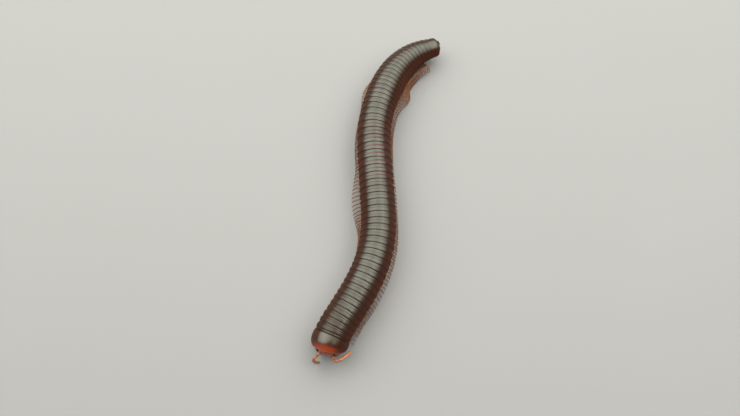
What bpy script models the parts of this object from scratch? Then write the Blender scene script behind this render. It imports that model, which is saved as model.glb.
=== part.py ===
"""A large round-backed millipede at life size, walking over level ground.

Every size is in millimetres, and a finished mesh is scaled by MM into metres.
s is the distance along the body's axis, from the front margin of the collum to the tail.
Z is up, the head faces -Y, and the animal's left side is +X where its body runs straight.
"""

import math

import bmesh
import bpy
from mathutils import Matrix, Vector

MM = 0.001
NODE_GAP = 0.3  # between two neighbouring pieces

# Trunk
BODY_RADIUS = 5.3
BELLY_SHARE = 0.93  # the belly is flattened at this share of the radius
CLEARANCE = 2.45  # belly above the ground
RING_COUNT = 56  # rings behind the collum
RINGS_PER_LENGTH = 7
RING_SIDES = 16
RING_ROWS = ((0.0, 0.95), (0.5, 0.968), (1.0, 1.0))  # share of pitch, share of radius
PITCH_FRONT = 1.56  # ring spacing just behind the collum
PITCH_GAIN = 0.4  # what it gains over the next PITCH_GAIN_OVER
PITCH_GAIN_OVER = 20.0
STRETCH = 0.62  # the walking wave draws the rings further apart around STRETCH_AT
STRETCH_AT = 64.0
STRETCH_HALF = 21.0
SQUEEZE = 0.3  # and together again behind SQUEEZE_FROM
SQUEEZE_FROM = 74.0
SQUEEZE_OVER = 10.0
TAPER_FROM = 87.0  # the tail narrows from here to its end
TAPER_SHARE = 0.37
TAPER_POWER = 1.7
PITCH_TAPER = 0.12  # the last rings also close up by this share
CLOSE_UP_FROM = 0.7  # of their count

# Course of the body over the ground, seen from above
HEADING_AT_HEAD = 14.0  # degrees to the right of +Y, looking towards the tail
BENDS = (  # from, over, degrees of turn
    (-2.0, 13.0, 18.5),
    (8.0, 16.0, -4.5),
    (17.5, 31.0, -31.5),
    (62.5, 25.5, 22.5),
    (83.0, 50.0, 84.0),
)
HEAD_DIP = 1.3  # the front of the body bows down by this much at the collum's margin
DIP_OVER = 12.0
AXIS_STEP = 0.1
AXIS_FROM = -2.0
AXIS_TO = 126.0

# Collum, the shield behind the head
COLLUM_LENGTH = 4.7
COLLUM_LEAN = 0.24  # its front margin slants back by this share of the drop from its crown
COLLUM_ROWS = (  # share of the way to the front margin, share of radius, drop
    (0.0, 1.0, 0.0),
    (0.36, 1.02, 0.0),
    (0.68, 1.0, 0.08),
    (0.88, 0.95, 0.25),
    (1.0, 0.87, 0.45),
)

# Head, in its own frame: x to the animal's left, y towards the tail, z up from the body's axis
HEAD_CENTRE = (0.0, 2.3, -0.6)
HEAD_HALF = (3.75, 3.6, 4.0)
CHEEK_CENTRE = (2.5, 1.3, -2.75)
CHEEK_HALF = (1.45, 2.35, 1.95)
CHEEK_TURN = 12.0
FACE_CENTRE = (0.0, 0.2, -3.05)  # clypeus and labrum
FACE_HALF = (2.5, 1.6, 2.1)
NOTCH_CENTRE = (0.0, -0.52, -5.0)  # in the labrum's edge
NOTCH_HALF = (0.45, 1.4, 0.45)
LOWER_LIP_CENTRE = (0.0, 1.7, -4.0)  # gnathochilarium
LOWER_LIP_HALF = (2.2, 2.2, 1.15)
HEAD_BACK = 3.0
EYE_CENTRE = (2.78, 0.2, 0.75)
EYE_HALF = (0.42, 0.88, 0.6)
EYE_TURN = -38.0
EYE_GAP = 0.2
SOCKET_AT = (1.85, -0.9, -0.35)  # where an antenna leaves the head
SOCKET_RADIUS = 0.72

# Antennae: course of each, and its seven articles as (share of length, half thickness at the far end)
ANTENNA_LEFT = (
    (1.95, -1.1, -0.3),
    (3.1, -1.6, 0.9),
    (4.7, -0.7, 1.3),
    (6.0, 0.9, 0.4),
    (6.4, 1.9, -1.7),
)
ANTENNA_RIGHT = (
    (-1.95, -1.1, -0.3),
    (-2.75, -2.25, 0.3),
    (-3.05, -3.15, -0.8),
    (-2.5, -3.6, -2.4),
    (-1.6, -3.5, -4.3),
)
ARTICLES = ((0.09, 0.36), (0.31, 0.4), (0.49, 0.41), (0.65, 0.42), (0.8, 0.43), (0.93, 0.42), (1.0, 0.24))
ARTICLE_NECK = 0.72  # an article's near end against its far end
ARTICLE_INSETS = (0.06, 0.12)  # where its neck ends and its far end begins to close, as shares of it
ANTENNA_TIP = 0.5  # the closed end of the last article against its widest
ANTENNA_SIDES = 6

# Legs: a knot's (reach from the root, height above ground) where a leg stands under the body and
# where it reaches out, its half thickness, and its share of a foot's lift
LEG_ROOT = 0.95  # from the belly's midline
LEG_KNOTS = (
    ((0.0, 3.8), (0.0, 3.8), 0.42, 0.0),
    ((1.0, 1.85), (0.75, 1.9), 0.42, 0.0),
    ((3.85, 3.3), (4.5, 2.95), 0.37, 0.45),
    ((4.85, 1.85), (6.2, 1.75), 0.3, 0.8),
    ((5.1, 0.0), (7.0, 0.0), 0.15, 1.0),
)
REACHES_OUT = ((1, 3.0, 11.0), (-1, 50.5, 13.0), (1, 89.5, 7.0), (-1, 88.0, 7.0))  # side, middle, half
LEG_PAIRS_AT = (0.31, 0.77)  # in a ring, as shares of its pitch
LEG_FLATNESS = 0.72  # a leg's thickness along the body against that across it
SINGLE_PAIR_RINGS = 3
LEGLESS_RINGS = 2
LEGS_PER_WAVE = 4 * RINGS_PER_LENGTH
WAVE_OFFSET = 7.5  # legs; neighbours on two trunk lengths then stand parallel
FRONT_LEG = 0.72  # the first pair's reach against a full one, which is met after FRONT_LEG_OVER
FRONT_LEG_OVER = 22.0
LEG_SLIMMING = 0.28  # share of a leg's size that follows the body's girth
SWING = 13.0  # degrees
LIFT = 0.9
BEND_CALM = 0.055  # a bend this tight, per millimetre, halves the swing

# Telson
TELSON_LENGTH = 2.7
TELSON_ROWS = ((0.0, 0.95), (0.4, 0.97), (0.75, 0.92), (1.0, 0.78))
HOOD_CENTRE = (0.0, 1.9, 1.75)  # the epiproct, which overhangs the valves
HOOD_HALF = (1.5, 1.6, 0.65)
VALVE_HALF = (0.85, 1.05, 1.8)  # of one anal valve, against the telson's end
VALVE_INSET = 0.25
VALVE_DROP = 0.15

# How finely round forms are cut: (sides round, rings from pole to pole)
HEAD_CUT = (20, 12)
CHEEK_CUT = (12, 9)
LIP_CUT = (12, 8)
EYE_CUT = (12, 7)
NOTCH_CUT = (10, 6)
COURSE_STEPS = 16  # between two knots of a smooth course
ANTENNA_STEPS = 100  # along an antenna
RING_SHARP = 32.0  # degrees between two faces that stay a sharp edge
BALL_SHARP = 50.0

# Finishes: colour and roughness
CUTICLE = ((0.085, 0.03, 0.024), 0.24)
FRONT_CUTICLE = ((0.2, 0.035, 0.02), 0.28)
ORANGE = ((0.55, 0.14, 0.04), 0.35)
EYE_BLACK = ((0.01, 0.01, 0.012), 0.12)


def ease(x):
    """A smooth step from 0 to 1."""
    x = min(1.0, max(0.0, x))
    return x * x * (3.0 - 2.0 * x)


def heading(s):
    """The direction towards the tail at s, in radians to the right of +Y."""
    turned = sum(turn * ease((s - start) / over) for start, over, turn in BENDS)
    return math.radians(HEADING_AT_HEAD + turned)


def walk_axis():
    """Points of the body's axis every AXIS_STEP, from AXIS_FROM on."""
    x = y = 0.0
    points = []
    for i in range(int((AXIS_TO - AXIS_FROM) / AXIS_STEP) + 2):
        points.append((x, y))
        middle = heading(AXIS_FROM + (i + 0.5) * AXIS_STEP)
        x += math.sin(middle) * AXIS_STEP
        y += math.cos(middle) * AXIS_STEP
    return points


AXIS = walk_axis()


def axis_point(s):
    """(x, y) of the axis at s."""
    place = (s - AXIS_FROM) / AXIS_STEP
    i = int(place)
    part = place - i
    near, far = AXIS[i], AXIS[i + 1]
    return near[0] + (far[0] - near[0]) * part, near[1] + (far[1] - near[1]) * part


def tail_share(s):
    """0 before the taper and 1 at the end of the last ring."""
    return max(0.0, (s - TAPER_FROM) / (TRUNK_END - TAPER_FROM))


def pitch_at(s):
    """The spacing of the rings at s, before the tail's taper."""
    wave = 0.5 + 0.5 * math.cos(math.pi * min(1.0, abs(s - STRETCH_AT) / STRETCH_HALF))
    squeeze = SQUEEZE * ease((s - SQUEEZE_FROM) / SQUEEZE_OVER)
    return PITCH_FRONT + PITCH_GAIN * ease(s / PITCH_GAIN_OVER) + STRETCH * wave - squeeze


def ring_edges():
    """Where each ring behind the collum begins, and where the last one ends."""
    edges = [COLLUM_LENGTH]
    for number in range(RING_COUNT):
        late = max(0.0, (number / RING_COUNT - CLOSE_UP_FROM) / (1.0 - CLOSE_UP_FROM))
        edges.append(edges[-1] + pitch_at(edges[-1]) * (1.0 - PITCH_TAPER * late))
    return edges


EDGES = ring_edges()
TRUNK_END = EDGES[-1]


def radius_at(s):
    return BODY_RADIUS * (1.0 - TAPER_SHARE * tail_share(s) ** TAPER_POWER)


def axis_height(s):
    dip = HEAD_DIP * max(0.0, 1.0 - s / DIP_OVER) ** 2
    return CLEARANCE + BELLY_SHARE * radius_at(s) - dip


def slope_at(s):
    """The angle by which the axis rises towards the tail."""
    return math.atan(2.0 * HEAD_DIP / DIP_OVER * max(0.0, 1.0 - s / DIP_OVER))


def frame_at(s):
    """A matrix whose x is the animal's left, y the way to the tail and z its back, on the axis at s."""
    x, y = axis_point(s)
    turned = Matrix.Rotation(-heading(s), 4, "Z") @ Matrix.Rotation(slope_at(s), 4, "X")
    return Matrix.Translation((x, y, axis_height(s))) @ turned


def body_section(s, share, sides=RING_SIDES):
    """One cross-section of the body: a circle with a flattened belly."""
    frame = frame_at(s)
    radius = radius_at(s)
    points = []
    for k in range(sides):
        angle = 2.0 * math.pi * (k + 0.5) / sides
        up = max(math.cos(angle), -BELLY_SHARE)
        points.append(frame @ Vector((-math.sin(angle) * radius * share, 0.0, up * radius * share)))
    return points


def skin_between(sections):
    """A closed mesh through like cross-sections, with a flat cap at each end."""
    mesh = bmesh.new()
    loops = [[mesh.verts.new(point) for point in section] for section in sections]
    for near, far in zip(loops, loops[1:]):
        count = len(near)
        for k in range(count):
            after = (k + 1) % count
            mesh.faces.new((near[k], near[after], far[after], far[k]))
    mesh.faces.new(loops[0])
    mesh.faces.new(loops[-1][::-1])
    bmesh.ops.recalc_face_normals(mesh, faces=mesh.faces)
    return mesh


def ellipsoid(centre, half, cut, turn=0.0):
    """A closed ellipsoid, turned about its own vertical by turn degrees."""
    mesh = bmesh.new()
    segments, rings = cut
    place = (
        Matrix.Translation(centre)
        @ Matrix.Rotation(math.radians(turn), 4, "Z")
        @ Matrix.Diagonal((*half, 1.0))
    )
    bmesh.ops.create_uvsphere(mesh, u_segments=segments, v_segments=rings, radius=1.0, matrix=place)
    return mesh


def mirrored(point):
    return (-point[0], point[1], point[2])


def grown(half, by):
    return tuple(size + by for size in half)


def object_of(name, mesh, collection=None):
    """An object from a bmesh that is still in millimetres."""
    data = bpy.data.meshes.new(name)
    mesh.to_mesh(data)
    mesh.free()
    made = bpy.data.objects.new(name, data)
    (collection or bpy.context.scene.collection).objects.link(made)
    return made


def largest_surface(mesh):
    """Leaves only the closed surface that encloses the most."""
    left = set(mesh.faces)
    islands = []
    while left:
        island, edge_of = set(), [left.pop()]
        while edge_of:
            face = edge_of.pop()
            island.add(face)
            for edge in face.edges:
                for other in edge.link_faces:
                    if other in left:
                        left.discard(other)
                        edge_of.append(other)
        islands.append(island)

    def enclosed(island):
        return sum(face.calc_center_median().dot(face.normal) * face.calc_area() for face in island)

    keep = max(islands, key=enclosed)
    loose = [face for face in mesh.faces if face not in keep]
    bmesh.ops.delete(mesh, geom=loose, context="FACES")


def combine(base, tools, operation):
    """Joins tools to base, or cuts them from it, and keeps one closed body."""
    folder = bpy.data.collections.new("tools")
    bpy.context.scene.collection.children.link(folder)
    for tool in tools:
        object_of("tool", tool, folder)
    step = base.modifiers.new("combine", "BOOLEAN")
    step.operand_type = "COLLECTION"
    step.collection = folder
    step.operation = operation
    step.solver = "EXACT"
    bpy.context.view_layer.update()
    shown = base.evaluated_get(bpy.context.evaluated_depsgraph_get())
    result = bmesh.new()
    result.from_mesh(shown.to_mesh())
    shown.to_mesh_clear()
    base.modifiers.clear()
    largest_surface(result)
    result.to_mesh(base.data)
    result.free()
    for tool in list(folder.objects):
        data = tool.data
        bpy.data.objects.remove(tool)
        bpy.data.meshes.remove(data)
    bpy.data.collections.remove(folder)
    return base


def dress(piece, finish, sharp):
    """Gives a piece a material of its own and smooth shading."""
    colour, roughness = finish
    material = bpy.data.materials.new(piece.name)
    material.use_nodes = True
    shader = material.node_tree.nodes["Principled BSDF"]
    shader.inputs["Base Color"].default_value = (*colour, 1.0)
    shader.inputs["Roughness"].default_value = roughness
    shader.inputs["Metallic"].default_value = 0.0
    piece.data.materials.clear()
    piece.data.materials.append(material)
    piece.data.shade_smooth()
    piece.data.set_sharp_from_angle(angle=math.radians(sharp))
    return piece


def stretch_out(s, side):
    """0 where a leg stands under the body and 1 where it reaches out. side is 1 on the animal's left."""
    shares = [1.0 - ease(abs(s - at) / half) for near, at, half in REACHES_OUT if near == side]
    return max(shares)


def leg(s, side, number):
    """One leg as a closed, four-sided tapering tube."""
    bend = abs(heading(s + 0.5) - heading(s - 0.5))
    calm = 1.0 / (1.0 + bend / BEND_CALM)
    phase = 2.0 * math.pi * (number + WAVE_OFFSET) / LEGS_PER_WAVE
    swing = math.radians(SWING) * math.sin(phase) * calm
    lift = LIFT * max(0.0, math.cos(phase)) ** 2
    slim = 1.0 - LEG_SLIMMING * (1.0 - radius_at(s) / BODY_RADIUS)
    size = slim * (FRONT_LEG + (1.0 - FRONT_LEG) * ease(s / FRONT_LEG_OVER))
    x, y = axis_point(s)
    ground = Matrix.Translation((x, y, 0.0)) @ Matrix.Rotation(-heading(s), 4, "Z")
    out = Vector((side * math.cos(swing), math.sin(swing), 0.0))
    along = Vector((-side * math.sin(swing), math.cos(swing), 0.0))
    root = Vector((side * LEG_ROOT, 0.0, 0.0))
    up = Vector((0.0, 0.0, 1.0))
    out_share = stretch_out(s, side)
    knots = []
    for under, wide, _, lift_share in LEG_KNOTS:
        reach, height = (a + (b - a) * out_share for a, b in zip(under, wide))
        knots.append((reach * size, height * size + lift * lift_share))
    sections = []
    for i, (reach, height) in enumerate(knots):
        half = LEG_KNOTS[i][2] * size
        if i in (0, len(knots) - 1):
            across = out
        else:
            (r0, h0), (r1, h1) = knots[i - 1], knots[i + 1]
            run = math.hypot(r1 - r0, h1 - h0)
            across = out * ((h0 - h1) / run) + up * ((r1 - r0) / run)
        centre = root + out * reach + up * height
        flat = along * LEG_FLATNESS
        corners = (across + flat, across - flat, -across - flat, -across + flat)
        sections.append([ground @ (centre + corner * half) for corner in corners])
    if side < 0:
        sections = [section[::-1] for section in sections]
    return skin_between(sections)


def trunk_length(index):
    """A run of rings with its legs fused to the belly."""
    first = index * RINGS_PER_LENGTH
    rings = range(first, first + RINGS_PER_LENGTH)
    sections = []
    for ring in rings:
        start, end = EDGES[ring], EDGES[ring + 1]
        if ring == rings[0]:
            start += NODE_GAP / 2
        if ring == rings[-1]:
            end -= NODE_GAP / 2
        sections += [body_section(start + (end - start) * share, radius) for share, radius in RING_ROWS]
    trunk = object_of(f"trunk_{index + 1}", skin_between(sections))
    legs = []
    for ring in rings:
        if ring >= RING_COUNT - LEGLESS_RINGS:
            continue
        start, end = EDGES[ring], EDGES[ring + 1]
        pairs = LEG_PAIRS_AT if ring >= SINGLE_PAIR_RINGS else (sum(LEG_PAIRS_AT) / 2,)
        for order, share in enumerate(pairs):
            at = start + (end - start) * share
            number = 2 * ring + order
            legs += [leg(at, side, number) for side in (1, -1)]
    combine(trunk, legs, "UNION")
    return dress(trunk, CUTICLE, RING_SHARP)


def head_form(extra):
    """The outer forms of the head, each grown by extra."""
    return [
        ellipsoid(CHEEK_CENTRE, grown(CHEEK_HALF, extra), CHEEK_CUT, -CHEEK_TURN),
        ellipsoid(mirrored(CHEEK_CENTRE), grown(CHEEK_HALF, extra), CHEEK_CUT, CHEEK_TURN),
        ellipsoid(FACE_CENTRE, grown(FACE_HALF, extra), CHEEK_CUT),
        ellipsoid(LOWER_LIP_CENTRE, grown(LOWER_LIP_HALF, extra), LIP_CUT),
    ]


def cut_back(piece, back):
    """Takes off what lies behind back, towards the tail, and closes the face."""
    mesh = bmesh.new()
    mesh.from_mesh(piece.data)
    everything = mesh.verts[:] + mesh.edges[:] + mesh.faces[:]
    cut = bmesh.ops.bisect_plane(
        mesh, geom=everything, plane_co=(0.0, back, 0.0), plane_no=(0.0, 1.0, 0.0), clear_outer=True
    )
    rim = [part for part in cut["geom_cut"] if isinstance(part, bmesh.types.BMEdge)]
    bmesh.ops.contextual_create(mesh, geom=rim)
    bmesh.ops.recalc_face_normals(mesh, faces=mesh.faces)
    mesh.to_mesh(piece.data)
    mesh.free()
    return piece


def head():
    """The head capsule with cheeks, face and lower lip, and the pits for eyes and antennae."""
    made = object_of("head", ellipsoid(HEAD_CENTRE, HEAD_HALF, HEAD_CUT))
    combine(made, head_form(0.0), "UNION")
    cut_back(made, HEAD_BACK)
    eye_pit = grown(EYE_HALF, EYE_GAP)
    pits = [
        ellipsoid(EYE_CENTRE, eye_pit, EYE_CUT, EYE_TURN),
        ellipsoid(mirrored(EYE_CENTRE), eye_pit, EYE_CUT, -EYE_TURN),
        ellipsoid(SOCKET_AT, (SOCKET_RADIUS,) * 3, LIP_CUT),
        ellipsoid(mirrored(SOCKET_AT), (SOCKET_RADIUS,) * 3, LIP_CUT),
        ellipsoid(NOTCH_CENTRE, NOTCH_HALF, NOTCH_CUT),
    ]
    combine(made, pits, "DIFFERENCE")
    return dress(made, FRONT_CUTICLE, BALL_SHARP)


def eye(name, side):
    """A raised patch of simple eyes."""
    centre = EYE_CENTRE if side > 0 else mirrored(EYE_CENTRE)
    made = object_of(name, ellipsoid(centre, EYE_HALF, EYE_CUT, EYE_TURN * side))
    return dress(made, EYE_BLACK, BALL_SHARP)


def smooth_course(knots, count):
    """Points at even shares of a smooth curve through the knots."""
    knots = [Vector(knot) for knot in knots]
    knots = [knots[0] * 2 - knots[1], *knots, knots[-1] * 2 - knots[-2]]
    fine = []
    for before, near, far, after in zip(knots, knots[1:], knots[2:], knots[3:]):
        for step in range(COURSE_STEPS):
            t = step / COURSE_STEPS
            fine.append(
                0.5
                * (
                    2 * near
                    + (far - before) * t
                    + (2 * before - 5 * near + 4 * far - after) * t**2
                    + (3 * near - before - 3 * far + after) * t**3
                )
            )
    fine.append(knots[-2])
    reached = [0.0]
    for near, far in zip(fine, fine[1:]):
        reached.append(reached[-1] + (far - near).length)
    points = []
    for i in range(count + 1):
        target = reached[-1] * i / count
        j = next(n for n in range(1, len(fine)) if reached[n] >= target - 1e-9)
        part = (target - reached[j - 1]) / (reached[j] - reached[j - 1])
        points.append(fine[j - 1].lerp(fine[j], part))
    return points


def antenna(name, course):
    """Seven articles, each widening to its far end."""
    fine = smooth_course(course, ANTENNA_STEPS)
    rows = []
    start, near_half = 0.0, ARTICLES[0][1]
    for end, far_half in ARTICLES:
        span = end - start
        near_inset, far_inset = ARTICLE_INSETS
        rows += [(start + span * near_inset, near_half * ARTICLE_NECK), (end - span * far_inset, far_half)]
        start, near_half = end, far_half
    rows.append((1.0, ARTICLES[-1][1] * ANTENNA_TIP))
    sections = []
    for share, half in rows:
        at = round(share * ANTENNA_STEPS)
        i = min(ANTENNA_STEPS - 1, max(1, at))
        tangent = (fine[i + 1] - fine[i - 1]).normalized()
        across = tangent.cross(Vector((0.0, 0.0, 1.0))).normalized()
        over = across.cross(tangent)
        centre = fine[at]
        turns = [2.0 * math.pi * k / ANTENNA_SIDES for k in range(ANTENNA_SIDES)]
        sections.append([centre + (across * math.cos(t) + over * math.sin(t)) * half for t in turns])
    return dress(object_of(name, skin_between(sections)), ORANGE, BALL_SHARP)


def collum():
    """The first ring: a shield that overhangs the back of the head, with a socket for it."""
    rear = COLLUM_LENGTH - NODE_GAP / 2
    sections = []
    for share, radius, drop in COLLUM_ROWS:
        section = []
        for k in range(RING_SIDES):
            angle = 2.0 * math.pi * (k + 0.5) / RING_SIDES
            across = -math.sin(angle) * BODY_RADIUS * radius
            up = max(math.cos(angle), -BELLY_SHARE) * BODY_RADIUS * radius
            front = (BODY_RADIUS - up) * COLLUM_LEAN
            section.append(frame_at(rear + (front - rear) * share) @ Vector((across, 0.0, up - drop)))
        sections.append(section)
    made = object_of("collum", skin_between(sections))
    socket = object_of("socket", ellipsoid(HEAD_CENTRE, grown(HEAD_HALF, NODE_GAP), HEAD_CUT))
    combine(socket, head_form(NODE_GAP), "UNION")
    cut_back(socket, HEAD_BACK + NODE_GAP)
    cutter = bmesh.new()
    cutter.from_mesh(socket.data)
    cutter.transform(frame_at(0.0))
    bpy.data.objects.remove(socket)
    combine(made, [cutter], "DIFFERENCE")
    return dress(made, CUTICLE, RING_SHARP)


def telson():
    """The last ring, closed by two anal valves."""
    start = TRUNK_END + NODE_GAP / 2
    length = TELSON_LENGTH - NODE_GAP / 2
    sections = []
    for share, radius in TELSON_ROWS:
        frame = frame_at(TRUNK_END)
        section = []
        for point in body_section(TRUNK_END, radius):
            local = frame.inverted() @ point
            local.y = start - TRUNK_END + length * share
            section.append(local)
        sections.append(section)
    made = object_of("telson", skin_between(sections))
    combine(made, [ellipsoid(HOOD_CENTRE, HOOD_HALF, LIP_CUT)], "UNION")
    seats = [ellipsoid(valve_centre(side), grown(VALVE_HALF, NODE_GAP), EYE_CUT) for side in (1, -1)]
    combine(made, seats, "DIFFERENCE")
    return dress(made, CUTICLE, RING_SHARP)


def valve_centre(side):
    return (side * (VALVE_HALF[0] + NODE_GAP / 2), TELSON_LENGTH - VALVE_INSET, -VALVE_DROP)


def anal_valve(name, side):
    made = object_of(name, ellipsoid(valve_centre(side), VALVE_HALF, EYE_CUT))
    return dress(made, CUTICLE, BALL_SHARP)


def to_metres(piece, place, carrier):
    """Scales a finished mesh into metres, sets its place and hangs it on the carrier."""
    piece.data.transform(Matrix.Scale(MM, 4))
    piece.matrix_world = Matrix.Translation(place.translation * MM) @ place.to_3x3().to_4x4()
    piece.parent = carrier
    return piece


def lowest_and_highest(pieces):
    corners = [piece.matrix_world @ vertex.co for piece in pieces for vertex in piece.data.vertices]
    low = Vector([min(corner[i] for corner in corners) for i in range(3)])
    high = Vector([max(corner[i] for corner in corners) for i in range(3)])
    return low, high


def main():
    for left in list(bpy.data.objects):
        bpy.data.objects.remove(left)
    carrier = bpy.data.objects.new("millipede", None)
    bpy.context.scene.collection.objects.link(carrier)
    at_head, at_tail, at_rest = frame_at(0.0), frame_at(TRUNK_END), Matrix.Identity(4)
    pieces = [
        to_metres(head(), at_head, carrier),
        to_metres(eye("eye_left", 1), at_head, carrier),
        to_metres(eye("eye_right", -1), at_head, carrier),
        to_metres(antenna("antenna_left", ANTENNA_LEFT), at_head, carrier),
        to_metres(antenna("antenna_right", ANTENNA_RIGHT), at_head, carrier),
        to_metres(collum(), at_rest, carrier),
        to_metres(telson(), at_tail, carrier),
        to_metres(anal_valve("anal_valve_left", 1), at_tail, carrier),
        to_metres(anal_valve("anal_valve_right", -1), at_tail, carrier),
    ]
    for index in range(RING_COUNT // RINGS_PER_LENGTH):
        pieces.append(to_metres(trunk_length(index), at_rest, carrier))
    bpy.context.view_layer.update()
    low, high = lowest_and_highest(pieces)
    carrier.location = (-(low.x + high.x) / 2, -(low.y + high.y) / 2, 0.0)


main()
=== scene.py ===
# %% [markdown]
# # A large round-backed millipede, at life size
# This lesson dresses the solids of a walking millipede with the surface of the living animal.
# The solids give every place and size, and each cell here adds one piece of the real body:
# the telescoping rings, the legs, the shield behind the head, the head itself and the tail.

# %% The frame
import math
import random

import bmesh
import bpy
import numpy as np
from mathutils import Matrix, Vector, noise


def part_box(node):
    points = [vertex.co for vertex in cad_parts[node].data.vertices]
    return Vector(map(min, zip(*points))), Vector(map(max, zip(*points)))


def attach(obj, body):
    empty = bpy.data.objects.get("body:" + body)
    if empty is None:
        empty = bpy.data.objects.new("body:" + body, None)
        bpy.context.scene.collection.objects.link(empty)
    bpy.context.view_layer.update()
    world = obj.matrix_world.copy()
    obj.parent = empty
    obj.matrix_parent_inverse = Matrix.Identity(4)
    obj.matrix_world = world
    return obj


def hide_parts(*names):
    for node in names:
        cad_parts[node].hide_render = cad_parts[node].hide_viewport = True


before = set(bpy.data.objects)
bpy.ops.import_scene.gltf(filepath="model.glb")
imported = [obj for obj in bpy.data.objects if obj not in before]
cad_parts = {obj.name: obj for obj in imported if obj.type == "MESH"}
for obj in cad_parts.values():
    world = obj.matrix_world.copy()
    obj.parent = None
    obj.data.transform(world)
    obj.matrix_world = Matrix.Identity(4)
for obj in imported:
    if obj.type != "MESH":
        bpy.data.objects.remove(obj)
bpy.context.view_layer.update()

MM = 0.001

# %% [markdown]
# ## The course of the body
# A millipede bends mostly sideways while it walks on level ground, and bows its front end down.
# Its axis could be drawn by hand as a Bezier curve. Here it is the sum of a few bends that each
# come on smoothly over a stretch of the body, because rings, legs and tail all ask the same
# question: where is the body at s millimetres, and where does it point?

# %% Course of the body
BODY_RADIUS = 5.3
BELLY_SHARE = 0.93
CLEARANCE = 2.45
HEADING_AT_HEAD = 14.0
BENDS = (  # from, over, degrees of turn
    (-2.0, 13.0, 18.5),
    (8.0, 16.0, -4.5),
    (17.5, 31.0, -31.5),
    (62.5, 25.5, 22.5),
    (83.0, 50.0, 84.0),
)
HEAD_DIP, DIP_OVER = 1.3, 12.0
AXIS_STEP = 0.1
AXIS_FROM = -2.0
AXIS_TO = 126.0


def ease(x):
    """A smooth step from 0 to 1."""
    x = min(1.0, max(0.0, x))
    return x * x * (3.0 - 2.0 * x)


def heading(s):
    """The direction towards the tail at s, in radians to the right of +Y."""
    turned = sum(turn * ease((s - start) / over) for start, over, turn in BENDS)
    return math.radians(HEADING_AT_HEAD + turned)


def walk_axis():
    x = y = 0.0
    points = []
    for i in range(int((AXIS_TO - AXIS_FROM) / AXIS_STEP) + 2):
        points.append((x, y))
        middle = heading(AXIS_FROM + (i + 0.5) * AXIS_STEP)
        x += math.sin(middle) * AXIS_STEP
        y += math.cos(middle) * AXIS_STEP
    return points


AXIS = walk_axis()


def axis_point(s):
    place = (s - AXIS_FROM) / AXIS_STEP
    i = int(place)
    part = place - i
    near, far = AXIS[i], AXIS[i + 1]
    return near[0] + (far[0] - near[0]) * part, near[1] + (far[1] - near[1]) * part


print("axis points:", len(AXIS))

# %% [markdown]
# ## Where each ring begins
# The rings stand close behind the head, draw apart where the walking wave stretches the body,
# and close up again towards the tail. The spacing is a sum of three smooth terms.

# %% Ring edges and girth
COLLUM_LENGTH = 4.7
RING_COUNT = 56
PITCH_FRONT = 1.56
PITCH_GAIN, PITCH_GAIN_OVER = 0.4, 20.0
STRETCH, STRETCH_AT, STRETCH_HALF = 0.62, 64.0, 21.0
SQUEEZE, SQUEEZE_FROM, SQUEEZE_OVER = 0.3, 74.0, 10.0
TAPER_FROM, TAPER_SHARE, TAPER_POWER = 87.0, 0.37, 1.7
PITCH_TAPER, CLOSE_UP_FROM = 0.12, 0.7


def pitch_at(s):
    wave = 0.5 + 0.5 * math.cos(math.pi * min(1.0, abs(s - STRETCH_AT) / STRETCH_HALF))
    squeeze = SQUEEZE * ease((s - SQUEEZE_FROM) / SQUEEZE_OVER)
    return PITCH_FRONT + PITCH_GAIN * ease(s / PITCH_GAIN_OVER) + STRETCH * wave - squeeze


def ring_edges():
    edges = [COLLUM_LENGTH]
    for number in range(RING_COUNT):
        late = max(0.0, (number / RING_COUNT - CLOSE_UP_FROM) / (1.0 - CLOSE_UP_FROM))
        edges.append(edges[-1] + pitch_at(edges[-1]) * (1.0 - PITCH_TAPER * late))
    return edges


EDGES = ring_edges()
TRUNK_END = EDGES[-1]


def radius_at(s):
    tail = max(0.0, (s - TAPER_FROM) / (TRUNK_END - TAPER_FROM))
    return BODY_RADIUS * (1.0 - TAPER_SHARE * tail**TAPER_POWER)


def axis_height(s):
    dip = HEAD_DIP * max(0.0, 1.0 - s / DIP_OVER) ** 2
    return CLEARANCE + BELLY_SHARE * radius_at(s) - dip


def slope_at(s):
    """The angle by which the axis rises towards the tail."""
    return math.atan(2.0 * HEAD_DIP / DIP_OVER * max(0.0, 1.0 - s / DIP_OVER))


def frame_at(s):
    """x is the animal's left, y the way to the tail and z its back, on the axis at s, in millimetres."""
    x, y = axis_point(s)
    turned = Matrix.Rotation(-heading(s), 4, "Z") @ Matrix.Rotation(slope_at(s), 4, "X")
    return Matrix.Translation((x, y, axis_height(s))) @ turned


print("the last ring ends at", round(TRUNK_END, 1), "mm")

# %% [markdown]
# ## From the body's own millimetres to the frame
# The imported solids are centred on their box, so one shift leads from the body's own coordinates
# to the frame's. Both eyes are known in both, and the point between them gives the shift.

# %% The shift into the frame
EYE_CENTRE = Vector((2.78, 0.2, 0.75))
EYE_HALF = Vector((0.42, 0.88, 0.6))
EYE_TURN = -38.0
HEAD_PLACE = frame_at(0.0)


def middle_of(node):
    low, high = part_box(node)
    return (low + high) / 2


between_eyes = (middle_of("eye_left") + middle_of("eye_right")) / 2 / MM
SHIFT = between_eyes - HEAD_PLACE @ Vector((0.0, EYE_CENTRE.y, EYE_CENTRE.z))
print("shift in mm:", [round(part, 2) for part in SHIFT])

# %% [markdown]
# ## Making pieces
# Every piece here is computed as points and faces in millimetres. One helper turns them into an
# object in metres, lets it ride on the body, and hides the solids it replaces. Points may
# carry marks, named numbers that a material reads, such as how far round the body they lie.

# %% Helper: one piece of the animal
SIDES = ((1, "left"), (-1, "right"))


def in_scene(name, data):
    made = bpy.data.objects.new(name, data)
    bpy.context.scene.collection.objects.link(made)
    return made


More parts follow.
